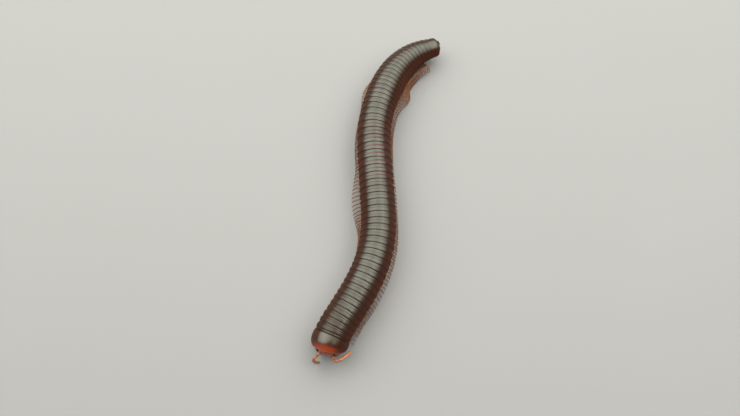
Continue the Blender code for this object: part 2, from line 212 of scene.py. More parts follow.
def piece_of(name, points, faces, materials, finish_of_face=None, marks=None, slot=None, replaces=()):
    mesh = bpy.data.meshes.new(name)
    mesh.from_pydata([(Vector(point) + SHIFT) * MM for point in points], [], faces)
    for material in materials:
        mesh.materials.append(material)
    if finish_of_face is not None:
        mesh.polygons.foreach_set("material_index", np.asarray(finish_of_face, np.int32))
    for mark, values in (marks or {}).items():
        layer = mesh.attributes.new(mark, "FLOAT", "POINT")
        layer.data.foreach_set("value", np.asarray(values, np.float32))
    mesh.validate()
    mesh.shade_smooth()
    made = in_scene(name, mesh)
    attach(made, "root")
    if replaces:
        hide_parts(*replaces)
    print(name, "has", sum(len(face) - 2 for face in faces), "triangles")


print("sides of the animal:", [name for _, name in SIDES])

# %% [markdown]
# ## Materials
# Chitin is a stack of thin, hard layers: dark pigment below and a clear waxy skin on top. A
# Principled shader with a coat says just that. The helpers below keep the node code short, so
# that each finish can be read as a recipe: where the colour changes, how rough, what relief.

# %% Helper: nodes


def finish_named(name, **sockets):
    material = bpy.data.materials.new(name)
    material.use_nodes = True
    tree = material.node_tree
    for socket, value in sockets.items():
        tree.nodes["Principled BSDF"].inputs[socket.replace("_", " ")].default_value = value
    print("finish", name)
    return material, tree


def add(tree, kind, settings=None, **inputs):
    """A node with its settings and its inputs, each a number or a socket to link from."""
    made = tree.nodes.new("ShaderNode" + kind)
    for name, value in (settings or {}).items():
        setattr(made, name, value)
    for name, value in inputs.items():
        socket = made.inputs[int(name[1:])] if name[1:].isdigit() else made.inputs[name.replace("_", " ")]
        if isinstance(value, bpy.types.NodeSocket):
            tree.links.new(value, socket)
        else:
            socket.default_value = value
    return made


def mark_of(tree, name):
    return add(tree, "Attribute", {"attribute_name": name}).outputs["Fac"]


def sums(tree, operation, first, *others):
    for other in others:
        first = add(tree, "Math", {"operation": operation}, i0=first, i1=other).outputs[0]
    return first


def times(tree, *factors):
    return sums(tree, "MULTIPLY", *factors)


def spread(tree, value, low, high, to_low=0.0, to_high=1.0):
    """value from low..high to to_low..to_high, smoothly and clamped."""
    made = add(tree, "MapRange", {"interpolation_type": "SMOOTHSTEP"}, Value=value)
    for name, number in (("From Min", low), ("From Max", high), ("To Min", to_low), ("To Max", to_high)):
        made.inputs[name].default_value = number
    return made.outputs[0]


def blend_of(tree, share, first, second):
    """Two colours mixed by share. A colour is three numbers or a socket."""
    first, second = ((*c, 1.0) if isinstance(c, tuple) else c for c in (first, second))
    return add(tree, "Mix", {"data_type": "RGBA"}, i0=share, i6=first, i7=second).outputs[2]


def grain(tree, size, detail=3.0, vector=None):
    """Noise with features of about size millimetres, in the frame's own space."""
    where = vector or add(tree, "TexCoord").outputs["Object"]
    return add(tree, "TexNoise", Vector=where, Scale=0.5 / (size * MM), Detail=detail).outputs[0]


def wire(tree, **sockets):
    """Link each value to the shader's socket of that name."""
    for socket, value in sockets.items():
        tree.links.new(value, tree.nodes["Principled BSDF"].inputs[socket.replace("_", " ")])


def relief(tree, *layers):
    """Bump from layers of (height, depth in millimetres), one over the other."""
    normal = None
    for height, depth in layers:
        bump = add(tree, "Bump", Height=height, Distance=depth * MM, Strength=1.0)
        if normal:
            tree.links.new(normal, bump.inputs["Normal"])
        normal = bump.outputs["Normal"]
    wire(tree, Normal=normal)


print("noise scale for features of 1 mm:", 0.5 / MM)

# %% [markdown]
# ## Wax and wear
# Under its wax the cuticle mirrors little, so the coat carries the shine. Every point of the rings
# has marks that bend with the body: "around" runs from the back's midline (0) to the belly's (1),
# "arc" is the way round in millimetres, more on the animal's right, and "along" the way along. The
# wax ends low on the sides, is thin on the first rings and along the midline, and some rings have
# kept more of it. A painted mask could say the same, but a few smooth steps need no picture.

# %% Helper: wax
WAX_ENDS = (0.13, 0.33)  # how far round the body it begins and ends to wear off
WORN_RINGS, WORN_SHARE = (7.5, 15.5), 0.48  # millimetres along the body, and the polish left before
WORN_SLANT = 3.5  # how much further back this reaches for each millimetre to the animal's right
MIDLINE, MIDLINE_SHARE = (0.1, 1.1), 0.86  # millimetres beside the midline, and the polish left on it
DULLEST_RING = 0.84


def cuticle(name, coat_roughness):
    tint = (0.8, 1.0, 0.8, 1.0)
    return finish_named(name, Coat_Roughness=coat_roughness, Specular_IOR_Level=0.09, Specular_Tint=tint)


def waxed_back(tree, around, lines):
    """Coat weight: wax on the back, as far as lines leave it."""
    return times(tree, spread(tree, around, *WAX_ENDS, 1.0, 0.0), lines)


def polish_left(tree):
    arc = mark_of(tree, "arc")
    behind = sums(tree, "SUBTRACT", mark_of(tree, "along"), times(tree, arc, WORN_SLANT))
    first = spread(tree, behind, *WORN_RINGS, WORN_SHARE, 1.0)
    midline = spread(tree, sums(tree, "ABSOLUTE", arc, 0.0), *MIDLINE, MIDLINE_SHARE, 1.0)
    own = spread(tree, mark_of(tree, "tone"), 0.0, 1.0, DULLEST_RING, 1.0)
    return times(tree, first, midline, own)


print("wax wears off at", [round(180 * share) for share in WAX_ENDS], "degrees from the midline")

# %% [markdown]
# ## Scratches and gland pores
# Fine grooves are a wave texture in the body's own millimetres, so they run true round every
# bend. From the sixth ring on, a defence gland opens on each side in a tiny pore: a spot at a
# short distance from one point of the ring, where "drawn" counts millimetres forwards from the
# groove between a ring's two halves.

# %% Helper: grooves and pores
PORE_ARC, PORE_BEHIND, PORE_RADIUS = 6.9, 0.3, 0.13  # millimetres round the body, behind the groove, across
PORES_FROM = (13.5, 14.0)


def bands(tree, axis, spacing, distortion):
    """Parallel grooves across "arc" (X) or across "along" (Y), spacing millimetres apart."""
    where = add(tree, "CombineXYZ", X=mark_of(tree, "arc"), Y=mark_of(tree, "along")).outputs[0]
    wave = {"Vector": where, "Scale": math.pi / 10.0 / spacing, "Distortion": distortion, "Detail": 2.0}
    return add(tree, "TexWave", {"bands_direction": axis}, **wave).outputs[1]


def gland_pores(tree):
    beside = sums(tree, "SUBTRACT", sums(tree, "ABSOLUTE", mark_of(tree, "arc"), 0.0), PORE_ARC)
    behind = sums(tree, "ADD", mark_of(tree, "drawn"), PORE_BEHIND)
    way = add(tree, "CombineXYZ", X=beside, Y=behind).outputs[0]
    away = add(tree, "VectorMath", {"operation": "LENGTH"}, i0=way).outputs["Value"]
    pore = spread(tree, away, PORE_RADIUS * 0.6, PORE_RADIUS, 1.0, 0.0)
    return times(tree, pore, spread(tree, mark_of(tree, "along"), *PORES_FROM))


print("glands open", round(math.degrees(PORE_ARC / BODY_RADIUS)), "degrees from the midline")

# %% [markdown]
# ## The polished rear half of a ring
# The rear half shows all the time: a dark brown that turns redder low on the sides, scratched
# lengthwise low down. The rim and the groove are painted nearly black, as painted shade. The mark
# "phase" runs from 1 at the groove to 2 at the rim, so one number places each of these on every ring.

# %% Finish: ring lacquer
SCRATCH_SPACING = 0.55
# painted shade: near black for the rim's overhang and the groove, where shade falls
RIM_GROOVE_SHADE = (0.008, 0.003, 0.002)


def ring_lacquer():
    material, tree = cuticle("ring_lacquer", 0.3)
    phase = mark_of(tree, "phase")
    around = mark_of(tree, "around")
    blotch = grain(tree, 2.6)
    fine = grain(tree, 0.28, 4.0)
    back = blend_of(tree, blotch, (0.018, 0.006, 0.004), (0.034, 0.011, 0.007))
    side = blend_of(tree, blotch, (0.048, 0.01, 0.0035), (0.08, 0.015, 0.0055))
    colour = blend_of(tree, spread(tree, around, 0.22, 0.5), back, side)
    # painted shade: the rim and the groove are darkened towards near black
    colour = blend_of(tree, spread(tree, phase, 1.86, 1.97, 0.0, 0.45), colour, RIM_GROOVE_SHADE)
    colour = blend_of(tree, spread(tree, phase, 1.03, 1.1, 0.5, 0.0), colour, RIM_GROOVE_SHADE)
    pores = gland_pores(tree)
    # painted shade: each pore's opening is darkened to near black, as the shade inside the hole
    colour = blend_of(tree, pores, colour, (0.005, 0.002, 0.002))
    groove = spread(tree, phase, 1.02, 1.13, 0.6, 1.0)
    rim = spread(tree, phase, 1.86, 1.98, 1.0, 0.6)
    bright = times(tree, groove, rim, polish_left(tree))
    low = spread(tree, around, 0.26, 0.42, 0.0, 0.3)
    worn = spread(tree, bright, 0.0, 1.0, 0.2, 0.0)
    rough = sums(tree, "ADD", spread(tree, fine, 0.3, 0.7, 0.2, 0.3), low, worn)
    wire(tree, Base_Color=colour, Coat_Weight=waxed_back(tree, around, bright), Roughness=rough)
    scratches = times(tree, bands(tree, "X", SCRATCH_SPACING, 0.4), spread(tree, around, 0.45, 0.62))
    relief(tree, (scratches, 0.03), (grain(tree, 0.9), 0.03), (fine, 0.004), (pores, -0.06))
    return material


RING_LACQUER = ring_lacquer()

# %% [markdown]
# ## The front half of a ring
# The front half slides into the ring before it, like one tube of a telescope, and is finely lined
# round the body, which keeps it from sticking. Next to the groove it is polished like the rest.
# Further forward it is mostly hidden and dull: where the body is stretched it shows as a
# purple-red band. Keeping it to the animal's left is painted shade, for a dimmer sky mirrored there.

# %% Finish: sliding half
DRAWN_OUT = (0.75, 1.0)  # millimetres before the groove, where the front half turns dull and purple-red
# painted shade: the purple-red band is kept to the animal's left, for a dimmer mirrored sky there
SHADED_BAND_SIDE = (-0.6, 0.6)  # millimetres round the body, where this ends towards the animal's right
LINE_SPACING = 0.11


def sliding_half():
    material, tree = cuticle("sliding_half", 0.32)
    phase = mark_of(tree, "phase")
    around = mark_of(tree, "around")
    blotch = grain(tree, 1.7)
    back = blend_of(tree, blotch, (0.014, 0.006, 0.004), (0.03, 0.011, 0.007))
    side = blend_of(tree, blotch, (0.042, 0.0085, 0.003), (0.07, 0.013, 0.005))
    colour = blend_of(tree, spread(tree, around, 0.2, 0.5), back, side)
    # painted shade: the band and its loss of wax fade towards the animal's right
    left = spread(tree, mark_of(tree, "arc"), *SHADED_BAND_SIDE, 1.0, 0.45)
    high = spread(tree, around, 0.17, 0.3, 1.0, 0.25)
    drawn = times(tree, spread(tree, mark_of(tree, "drawn"), *DRAWN_OUT), left, high)
    colour = blend_of(tree, drawn, colour, (0.07, 0.014, 0.02))
    ends = times(tree, spread(tree, phase, 0.0, 0.1, 0.3, 1.0), spread(tree, phase, 0.8, 0.95, 1.0, 0.35))
    bright = times(tree, ends, spread(tree, drawn, 0.0, 1.0, 1.0, 0.2), polish_left(tree))
    lines = bands(tree, "Y", LINE_SPACING, 0.25)
    low = spread(tree, around, 0.26, 0.42, 0.0, 0.25)
    worn = spread(tree, ends, 0.0, 1.0, 0.2, 0.0)
    rough = sums(tree, "ADD", spread(tree, lines, 0.0, 1.0, 0.24, 0.34), low, worn)
    wire(tree, Base_Color=colour, Coat_Weight=waxed_back(tree, around, bright), Roughness=rough)
    relief(tree, (lines, 0.002), (grain(tree, 0.2), 0.003))
    return material


SLIDING_HALF = sliding_half()

# %% [markdown]
# ## The rings
# Every ring is one hard hoop: a narrower front half, a groove all round, a rear half that swells
# to the full girth, and a thin rim that hangs over the next ring. One could turn a single ring
# and repeat it with an array, but the body bends and changes its spacing. So the whole coat of
# rings is one loft: rows of points from a profile, placed on the axis.

# %% Profile of one ring
REAR_LENGTH = 1.12  # of a rear half at full girth; what is left of the spacing shows the front half
FRONT_ROWS = ((0.0, 0.955), (0.12, 0.9595), (0.45, 0.9625), (0.8, 0.965), (0.95, 0.961))
REAR_ROWS = (
    (0.0, 0.955), (0.04, 0.965), (0.09, 0.978), (0.17, 0.985), (0.32, 0.99),
    (0.54, 0.9945), (0.76, 0.9985), (0.89, 1.0), (0.955, 0.9975), (0.99, 0.991),
    (1.0, 0.981), (0.985, 0.968), (0.95, 0.96),
)


def ring_rows(start, end):
    """(s, share of the radius, phase) for each row of one ring."""
    rear = REAR_LENGTH * radius_at(start) / BODY_RADIUS
    bare = end - start - rear
    rows = [(start + bare * share, girth, share) for share, girth in FRONT_ROWS]
    return rows + [(start + bare + rear * share, girth, 1.0 + share) for share, girth in REAR_ROWS]


print("rows in a ring:", len(ring_rows(EDGES[0], EDGES[1])))

# %% Cross-section of the body
RING_SIDES = 96  # each with its place across and up, and its turn from the back's midline
BELLY_FROM, BELLY_DEPTH = 0.8, 0.12  # the belly flattens softly below this share of the radius


def soft_belly(up):
    below = -up - BELLY_FROM
    return up if below < 0.0 else -BELLY_FROM - BELLY_DEPTH * math.tanh(below / BELLY_DEPTH)


SECTION = []
for k in range(RING_SIDES):
    turn = 2.0 * math.pi * (k + 0.5) / RING_SIDES
    to_side = turn if turn < math.pi else turn - 2.0 * math.pi
    SECTION.append((-math.sin(turn), soft_belly(math.cos(turn)), to_side))


def loft(rows, sides, first=0):
    """Faces between rows of points, each with sides points, and a lid on the first and last row."""
    faces = []
    for i in range(rows - 1):
        near = first + i * sides
        for k in range(sides):
            after = (k + 1) % sides
            faces.append((near + k, near + after, near + sides + after, near + sides + k))
    last = first + (rows - 1) * sides
    return faces + [tuple(range(first, first + sides))[::-1], tuple(range(last, last + sides))]


print("sides:", RING_SIDES)

# %% [markdown]
# No two rings are quite alike: each is a hair wider or narrower, and sits a little turned. A
# seeded draw gives each ring its own small difference, and a slow noise dents the surface by a
# few hundredths of a millimetre, which is what breaks up the long highlight on the back.

# %% The coat of rings
DENT = 0.018


def coat_of_rings():
    draw = random.Random(11)
    points, row_is_rear = [], []
    marks = {name: [] for name in ("phase", "around", "arc", "along", "drawn", "tone")}
    for ring in range(RING_COUNT):
        own = 1.0 - 0.004 * draw.random()
        lean = 0.03 * (draw.random() - 0.5)
        tone = draw.random()
        rows_here = ring_rows(EDGES[ring], EDGES[ring + 1])
        groove = rows_here[len(FRONT_ROWS)][0]
        for s, girth, phase in rows_here:
            place = frame_at(s)
            radius = radius_at(s)
            row_is_rear.append(phase >= 1.0)
            for across, up, turn in SECTION:
                out = radius * girth * own
                wave = DENT * noise.noise(Vector((across * 2.0, up * 2.0, s * 0.45)))
                local = Vector((across * (out + wave), lean * up * phase, up * (out + wave)))
                points.append(place @ local)
                values = (phase, abs(turn) / math.pi, turn * BODY_RADIUS, s, groove - s, tone)
                for name, value in zip(marks, values):
                    marks[name].append(value)
    faces = loft(len(row_is_rear), RING_SIDES)
    finish = [0 if rear else 1 for rear in row_is_rear[:-1] for _ in range(RING_SIDES)] + [1, 0]
    stands_for = [f"trunk_{length}" for length in range(1, 9)]
    piece_of("body_rings", points, faces, [RING_LACQUER, SLIDING_HALF], finish, marks, "trunk", stands_for)


coat_of_rings()

# %% [markdown]
# ## Gathering many small forms
# Legs and feelers are chains of short tubes. Making each an object would give thousands of them,
# so a bag collects points and faces from all tubes of one kind, and one mesh is made at the end.
# A tube is a list of rows: a centre, two directions across it, and its half thickness there.

# %% Helper: a bag of tubes


def new_bag():
    return {"points": [], "faces": [], "finish": [], "reach": [], "tone": []}


def add_tube(bag, rows, sides, tone=0.5):
    """rows are (centre, across, over, half across, half over, finish, reach)."""
    first = len(bag["points"])
    for centre, across, over, half_a, half_b, _, reach in rows:
        for k in range(sides):
            turn = 2.0 * math.pi * k / sides
            out = across * (math.cos(turn) * half_a)
            bag["points"].append(centre + out + over * (math.sin(turn) * half_b))
        bag["reach"] += [reach] * sides
        bag["tone"] += [tone] * sides
    bag["faces"] += loft(len(rows), sides, first)
    for row in rows[:-1]:
        bag["finish"] += [row[5]] * sides
    bag["finish"] += [rows[0][5], rows[-1][5]]


def piece_of_bag(name, bag, materials, **more):
    marks = {"reach": bag["reach"], "tone": bag["tone"]}
    piece_of(name, bag["points"], bag["faces"], materials, bag["finish"], marks, **more)


def between(before, near, far, after, t):
    """A point from near (0) to far (1) on a smooth curve through all four."""
    bend = 2 * before - 5 * near + 4 * far - after
    twist = 3 * near - before - 3 * far + after
    return 0.5 * (2 * near + (far - before) * t + bend * t**2 + twist * t**3)


def smooth_course(knots, steps):
    """Points at even shares of a smooth curve through the knots."""
    knots = [Vector(knot) for knot in knots]
    knots = [knots[0] * 2 - knots[1], *knots, knots[-1] * 2 - knots[-2]]
    fine = []
    for four in zip(knots, knots[1:], knots[2:], knots[3:]):
        fine += [between(*four, step / 16) for step in range(16)]
    fine.append(knots[-2])
    reached = np.cumsum([0.0] + [(far - near).length for near, far in zip(fine, fine[1:])])
    even = np.linspace(0.0, reached[-1], steps + 1)
    return [Vector(point) for point in zip(*(np.interp(even, reached, axis) for axis in zip(*fine)))]


def on_course(course, share):
    """The point at a share of a course, and the direction there."""
    place = share * (len(course) - 1)
    near = min(len(course) - 2, int(place))
    ahead = course[near + 1] - course[near]
    return course[near].lerp(course[near + 1], place - near), ahead.normalized()


print("bag fields:", sorted(new_bag()))

# %% [markdown]
# ## The finish of legs and feelers
# Their cuticle is thin, so light from inside the limb warms it: brown-red near the body and
# orange towards the foot. The skin in the joints is soft and pale, which makes the rows of legs
# look banded. The mark "reach" runs from a limb's root (0) to its tip (1), "tone" from limb to limb.

# %% Finish: limb and joint
def limb_finish(name, near, far, rough=0.3):
    glow = {"Subsurface_Weight": 0.12, "Subsurface_Radius": (0.0006, 0.0002, 0.0001), "Subsurface_Scale": 1.0}
    material, tree = finish_named(name, Coat_Weight=0.25, Coat_Roughness=0.2, **glow)
    speckle = grain(tree, 0.35)
    along = blend_of(tree, mark_of(tree, "reach"), near, far)
    dark = blend_of(tree, 0.45, along, (0.05, 0.012, 0.006))
    colour = blend_of(tree, spread(tree, speckle, 0.35, 0.75, 0.0, 0.6), along, dark)
    colour = blend_of(tree, spread(tree, mark_of(tree, "tone"), 0.0, 1.0, 0.0, 0.5), colour, dark)
    wire(tree, Base_Color=colour, Roughness=spread(tree, speckle, 0.3, 0.7, rough, rough + 0.16))
    relief(tree, (speckle, 0.012), (grain(tree, 0.08), 0.004))
    return material


LIMB = limb_finish("limb_chitin", (0.11, 0.026, 0.009), (0.3, 0.09, 0.026))
JOINT = limb_finish("joint_skin", (0.3, 0.14, 0.06), (0.42, 0.24, 0.11), 0.42)
FEELER = limb_finish("feeler_chitin", (0.28, 0.07, 0.018), (0.36, 0.11, 0.03))
CLAW = limb_finish("claw_horn", (0.16, 0.05, 0.02), (0.1, 0.03, 0.012), 0.2)

# %% [markdown]
# ## The legs
# A leg has six segments after its root and ends in a claw. It leaves the belly near the midline,
# dips, rises outwards to a knee, and comes down on the claw. Each segment is a little cone, and a
# narrow neck of soft skin joins it to the next. Legs swing in a slow wave along the body: a leg's
# number gives its phase, and with it swing and lift. On four stretches the legs reach further out.

# %% How one leg stands
LEG_ROOT = 0.95
LEG_KNOTS = (  # (reach, height) under the body and reaching out, half thickness, share of a foot's lift
    ((0.0, 3.8), (0.0, 3.8), 0.42, 0.0),
    ((1.0, 1.85), (0.75, 1.9), 0.42, 0.0),
    ((3.85, 3.3), (4.5, 2.95), 0.37, 0.45),
    ((4.85, 1.85), (6.2, 1.75), 0.3, 0.8),
    ((5.1, 0.0), (7.0, 0.0), 0.15, 1.0),
)
REACHES_OUT = ((1, 3.0, 11.0), (-1, 50.5, 13.0), (1, 89.5, 7.0), (-1, 88.0, 7.0))  # side, middle, over
LEG_PAIRS_AT = (0.31, 0.77)
LEG_FLATNESS = 0.72
LEG_FINENESS = 0.78  # of the solids' legs, which are coarser
SINGLE_PAIR_RINGS = 3
LEGLESS_RINGS = 2
LEGS_PER_WAVE = 28
WAVE_OFFSET = 7.5
FRONT_LEG, FRONT_LEG_OVER, LEG_SLIMMING = 0.72, 22.0, 0.28
SWING, LIFT, BEND_CALM = 13.0, 0.9, 0.055


def stretch_out(s, side):
    """0 where a leg stands under the body and 1 where it reaches out."""
    return max(1.0 - ease(abs(s - at) / over) for near, at, over in REACHES_OUT if near == side)


def leg_knots(s, side, number):
    """Centres of one leg from root to foot, its size, and its own direction along the body."""
    bend = abs(heading(s + 0.5) - heading(s - 0.5))
    calm = 1.0 / (1.0 + bend / BEND_CALM)
    phase = 2.0 * math.pi * (number + WAVE_OFFSET) / LEGS_PER_WAVE
    swing = math.radians(SWING) * math.sin(phase) * calm
    lift = LIFT * max(0.0, math.cos(phase)) ** 2
    slim = 1.0 - LEG_SLIMMING * (1.0 - radius_at(s) / BODY_RADIUS)
    size = slim * (FRONT_LEG + (1.0 - FRONT_LEG) * ease(s / FRONT_LEG_OVER))
    x, y = axis_point(s)
    ground = Matrix.Translation((x, y, 0.0)) @ Matrix.Rotation(-heading(s), 4, "Z")
    out = ground.to_3x3() @ Vector((side * math.cos(swing), math.sin(swing), 0.0))
    along = ground.to_3x3() @ Vector((-side * math.sin(swing), math.cos(swing), 0.0))
    root = ground @ Vector((side * LEG_ROOT, 0.0, 0.0))
    up = Vector((0.0, 0.0, 1.0))
    out_share = stretch_out(s, side)
    knots = []
    for under, wide, _, lift_share in LEG_KNOTS:
        reach, height = (a + (b - a) * out_share for a, b in zip(under, wide))
        knots.append(root + out * (reach * size) + up * (height * size + lift * lift_share))
    return knots, size, along


print("a leg that reaches out ends", LEG_ROOT + LEG_KNOTS[-1][1][0], "mm from the midline")

# %% Segments of one leg
SEGMENT_ENDS = (0.17, 0.30, 0.46, 0.60, 0.76, 0.955)  # shares of a leg's length
SEGMENT_ROWS = ((0.0, 0.62), (0.07, 0.86), (0.3, 0.96), (0.7, 1.06), (0.9, 1.04), (0.97, 0.86), (1.0, 0.6))
CLAW_ROWS = ((0.0, 0.62), (0.4, 0.5), (0.8, 0.26), (1.0, 0.06))


def half_thickness(share):
    """Half thickness of a leg at a share of its length, read between the knots of its course."""
    knots_at = (0.0, 0.22, 0.59, 0.79, 1.0)
    return float(np.interp(share, knots_at, [knot[2] for knot in LEG_KNOTS]))


def add_leg(bag, s, side, number, draw):
    knots, size, along = leg_knots(s, side, number)
    course = smooth_course(knots, steps=60)
    tone = draw.random()
    rows = []
    start = 0.0
    for end in SEGMENT_ENDS + (1.0,):
        shape = CLAW_ROWS if end == 1.0 else SEGMENT_ROWS
        for i, (share, swell) in enumerate(shape):
            at = start + (end - start) * share
            centre, tangent = on_course(course, at)
            over = tangent.cross(along).normalized()
            half = half_thickness(at) * size * swell * LEG_FINENESS
            in_joint = end != 1.0 and i in (0, len(shape) - 2, len(shape) - 1)
            finish = 2 if end == 1.0 else 1 if in_joint else 0
            rows.append((centre, over, along, half, half * LEG_FLATNESS, finish, at))
        start = end
    add_tube(bag, rows, sides=9, tone=tone)


def all_legs():
    draw = random.Random(5)
    bags = {1: new_bag(), -1: new_bag()}
    count = 0
    for ring in range(RING_COUNT - LEGLESS_RINGS):
        start, end = EDGES[ring], EDGES[ring + 1]
        pairs = LEG_PAIRS_AT if ring >= SINGLE_PAIR_RINGS else (sum(LEG_PAIRS_AT) / 2,)
        for order, share in enumerate(pairs):
            for side in (1, -1):
                add_leg(bags[side], start + (end - start) * share, side, 2 * ring + order, draw)
                count += 1
    print("legs:", count)
    for side, name in SIDES:
        piece_of_bag(f"legs_{name}", bags[side], [LIMB, JOINT, CLAW], slot="trunk")


all_legs()

# %% [markdown]
# ## The shield behind the head
# The first ring, the collum, has no legs. It is a smooth saddle over the back of the head, with a
# fine orange rim along its rounded front. In this animal it is rust red in front, and its polish
# is worn off towards the animal's left. It is a loft like the rings, but its rows lean back
# towards the belly, and the first rows turn in under the margin.

# %% Finish: shield lacquer
SHIELD_WORN, SHIELD_WORN_SHARE = (-1.8, 1.4), 0.22  # millimetres round the body, and the polish left


def shield_lacquer():
    material, tree = cuticle("shield_lacquer", 0.27)
    phase = mark_of(tree, "phase")
    around = mark_of(tree, "around")
    blotch = grain(tree, 1.8)
    fine = grain(tree, 0.3, 4.0)
    colour = blend_of(tree, blotch, (0.02, 0.006, 0.004), (0.04, 0.011, 0.007))
    colour = blend_of(tree, spread(tree, around, 0.22, 0.55), colour, (0.05, 0.011, 0.005))
    crown = times(tree, spread(tree, phase, 0.12, 0.5, 1.0, 0.0), spread(tree, around, 0.08, 0.27, 1.0, 0.2))
    colour = blend_of(tree, crown, colour, (0.25, 0.03, 0.01))
    colour = blend_of(tree, spread(tree, phase, 0.03, 0.17, 0.8, 0.0), colour, (0.24, 0.055, 0.015))
    # painted shade: the rear rim darkens towards near black where it hangs over the first ring
    colour = blend_of(tree, spread(tree, phase, 0.9, 0.98, 0.0, 0.85), colour, RIM_GROOVE_SHADE)
    worn = spread(tree, mark_of(tree, "arc"), *SHIELD_WORN, SHIELD_WORN_SHARE, 1.0)
    coat = waxed_back(tree, around, times(tree, spread(tree, phase, 0.93, 0.99, 1.0, 0.0), worn))
    low = spread(tree, around, 0.26, 0.42, 0.0, 0.28)
    rough = sums(tree, "ADD", spread(tree, fine, 0.3, 0.7, 0.2, 0.3), low)
    wire(tree, Base_Color=colour, Coat_Weight=coat, Roughness=rough)
    relief(tree, (blotch, 0.03), (fine, 0.004))
    return material


SHIELD_LACQUER = shield_lacquer()

# %% The collum
COLLUM_LEAN = 0.24
SHIELD_ROWS = (  # share of the way from the front margin to the rear rim, share of radius, drop
    (0.16, 0.8, 0.4), (0.05, 0.83, 0.44), (0.005, 0.853, 0.44), (0.0, 0.866, 0.43),
    (0.012, 0.885, 0.41), (0.035, 0.893, 0.4), (0.05, 0.892, 0.39), (0.065, 0.9, 0.37),
    (0.12, 0.938, 0.26), (0.2, 0.966, 0.17), (0.3, 0.992, 0.09), (0.42, 1.01, 0.03),
    (0.56, 1.018, 0.0), (0.7, 1.018, 0.0), (0.84, 1.01, 0.0), (0.93, 1.004, 0.0),
    (0.975, 0.998, 0.0), (1.0, 0.985, 0.0), (0.99, 0.965, 0.0), (0.96, 0.95, 0.0),
)


def shield():
    rear = COLLUM_LENGTH - 0.02
    points = []
    marks = {"phase": [], "around": [], "arc": []}
    for share, girth, drop in SHIELD_ROWS:
        for across, up, turn in SECTION:
            height = up * BODY_RADIUS * girth
            front = (BODY_RADIUS - height) * COLLUM_LEAN
            place = frame_at(front + (rear - front) * share)
            points.append(place @ Vector((across * BODY_RADIUS * girth, 0.0, height - drop)))
            for name, value in zip(marks, (share, abs(turn) / math.pi, turn * BODY_RADIUS)):
                marks[name].append(value)
    faces = loft(len(SHIELD_ROWS), RING_SIDES)
    piece_of("collum_shield", points, faces, [SHIELD_LACQUER], None, marks, "collum", ["collum"])


shield()

# %% [markdown]
# ## The head
# The head is one hard capsule: a domed forehead and a face plate that ends in a notched upper
# lip. Such a form could be sculpted by hand. Here plain ellipsoids are melted together by a voxel
# remesh and smoothed, as a modeller presses balls of clay together. Then pits and grooves are
# pressed in by moving the points of the skin.

# %% Helper: clay
VOXEL, ROUNDS = 0.1, 8  # for most parts


def ball(mesh, centre, half, turn=0.0, segments=48, rings=32):
    """Adds an ellipsoid to mesh."""
    place = Matrix.Translation(centre) @ Matrix.Rotation(math.radians(turn), 4, "Z")
    place = place @ Matrix.Diagonal((*half, 1.0))
    bmesh.ops.create_uvsphere(mesh, u_segments=segments, v_segments=rings, radius=1.0, matrix=place)


def melt(mesh, voxel=VOXEL, rounds=ROUNDS):
    """Overlapping closed forms as one smooth skin: its points, normals and faces."""
    data = bpy.data.meshes.new("clay")
    mesh.to_mesh(data)
    mesh.free()
    clay = in_scene("clay", data)
    remesh = clay.modifiers.new("voxels", "REMESH")
    remesh.mode = "VOXEL"
    remesh.voxel_size = voxel
    soften = clay.modifiers.new("soften", "SMOOTH")
    soften.factor = 0.5
    soften.iterations = rounds
    bpy.context.view_layer.update()
    shown = clay.evaluated_get(bpy.context.evaluated_depsgraph_get())
    skin = shown.to_mesh()
    points = [vertex.co.copy() for vertex in skin.vertices]
    normals = [normal.vector.copy() for normal in skin.vertex_normals]
    faces = [tuple(polygon.vertices) for polygon in skin.polygons]
    shown.to_mesh_clear()
    bpy.data.objects.remove(clay)
    return points, normals, faces


print("usual voxel in mm:", VOXEL)

# %% Sizes of the head
HEAD_CENTRE = (0.0, 2.3, -0.6)
HEAD_HALF = (3.75, 3.6, 4.0)
CHEEK_CENTRE = (2.5, 1.3, -2.75)
CHEEK_HALF = (1.45, 2.35, 1.95)
FACE_CENTRE = (0.0, 0.2, -3.05)
FACE_HALF = (2.5, 1.6, 2.1)
LOWER_LIP_CENTRE = (0.0, 1.7, -4.0)
LOWER_LIP_HALF = (2.2, 2.2, 1.15)
SOCKET_AT = Vector((1.85, -0.9, -0.35))
SOCKET_RADIUS = 0.62
NOTCH_AT = Vector((0.0, FACE_CENTRE[1] - FACE_HALF[1] * 0.45, FACE_CENTRE[2] - FACE_HALF[2] * 0.93))
LIP_PITS = 3  # on each side of the face's midline
print("head is", HEAD_HALF[0] * 2, "mm wide")

# %% [markdown]
# The head's own marks colour it: "face" runs from the dark crown (0) to the orange mouth (1).
# The forehead is a lacquered rust red in this animal.

# %% Finish: head lacquer
def head_lacquer():
    material, tree = finish_named("head_lacquer", Coat_Weight=0.5, Coat_Roughness=0.15)
    face = mark_of(tree, "face")
    blotch = grain(tree, 1.3)
    fine = grain(tree, 0.22, 4.0)
    crown = blend_of(tree, blotch, (0.15, 0.021, 0.009), (0.24, 0.036, 0.014))
    mouth = blend_of(tree, blotch, (0.28, 0.075, 0.02), (0.4, 0.13, 0.035))
    colour = blend_of(tree, spread(tree, face, 0.2, 0.85), crown, mouth)
    # painted shade: sockets, seams, the furrow, the lip pits and the notch are darkened by their crease mark
    crease = spread(tree, mark_of(tree, "crease"), 0.1, 0.9, 0.0, 0.75)
    colour = blend_of(tree, crease, colour, (0.06, 0.014, 0.008))
    wire(tree, Base_Color=colour, Roughness=spread(tree, fine, 0.3, 0.7, 0.2, 0.34))
    relief(tree, (blotch, 0.03), (fine, 0.006))
    return material


HEAD_LACQUER = head_lacquer()

# %% [markdown]
# Four things are pressed into the capsule: a round socket for each feeler, with a low rim; a
# hair-thin seam down the forehead; a shallow furrow that sets off the upper lip; and the notch
# in that lip with three small pits on each side, where bristles stand on the live animal.

# %% The head capsule


